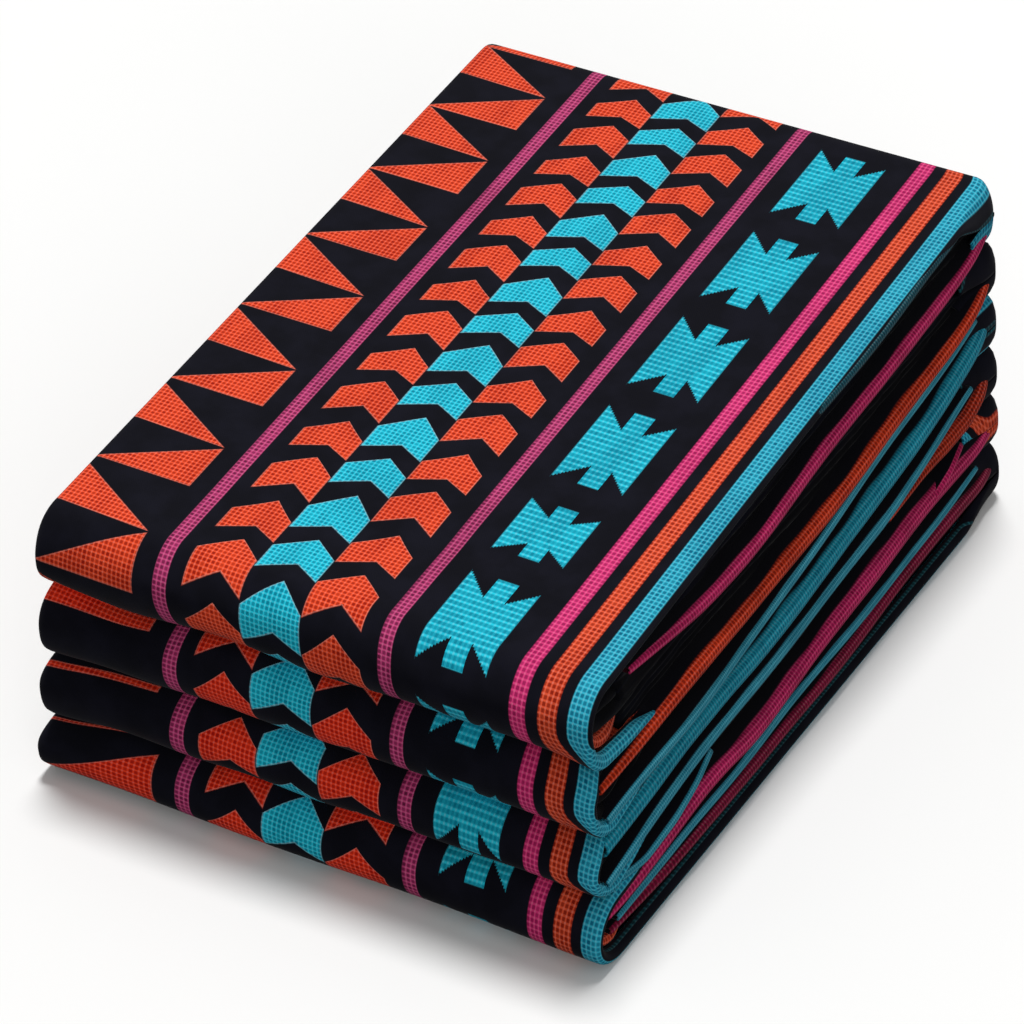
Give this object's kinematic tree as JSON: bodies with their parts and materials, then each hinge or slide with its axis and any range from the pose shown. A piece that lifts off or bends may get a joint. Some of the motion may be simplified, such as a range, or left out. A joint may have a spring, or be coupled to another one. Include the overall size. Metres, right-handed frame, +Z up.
{
  "type": "adire fabric",
  "caption": "Thick length of patterned dark cloth folded to and fro into a neat pile, with rounded folds in front, turns at the back and bright borders on one side.",
  "frame": {"origin": "on the ground under the middle of the pile", "axes": "+X along the folds, from the lengthwise folds to the bright borders; +Y from the rounded front folds to the turns at the back; +Z up, through the layers"},
  "size_m": [0.298, 0.4228, 0.1823],
  "materials": {
    "patterned_cloth": "near-black navy woven cloth with orange, turquoise and magenta figures in an open weave, soft low sheen",
    "magenta_band": "magenta woven border, soft sheen",
    "orange_band": "orange woven border, soft sheen",
    "turquoise_band": "turquoise woven border, soft sheen",
    "inner_cloth": "shaded inside of the folds, orange on navy, matt",
    "hidden_cloth": "near-black layered cloth edges, matt"
  },
  "bodies": {
    "root": {"top_stretch": "patterned_cloth", "base_stretch": "patterned_cloth", "front_fold_2": "patterned_cloth", "front_fold_3": "patterned_cloth", "inner_fold_1": "inner_cloth", "inner_fold_4": "inner_cloth", "back_turn_2": "patterned_cloth", "back_turn_3": "patterned_cloth", "back_turn_4": "patterned_cloth", "back_turn_5": "patterned_cloth", "border_magenta_upper": "magenta_band", "border_orange": "orange_band", "border_turquoise": "turquoise_band", "border_magenta_lower": "magenta_band", "border_base": "magenta_band", "selvedge_1": "turquoise_band", "selvedge_2": "turquoise_band", "selvedge_3": "turquoise_band", "selvedge_4": "turquoise_band", "left_fold_1": "patterned_cloth", "left_fold_2": "patterned_cloth", "left_fold_3": "patterned_cloth", "left_fold_4": "patterned_cloth", "left_fold_5": "patterned_cloth", "left_fold_6": "patterned_cloth", "left_fold_7": "patterned_cloth", "left_fold_8": "patterned_cloth", "hidden_layers": "hidden_cloth"}
  },
  "joints": []
}
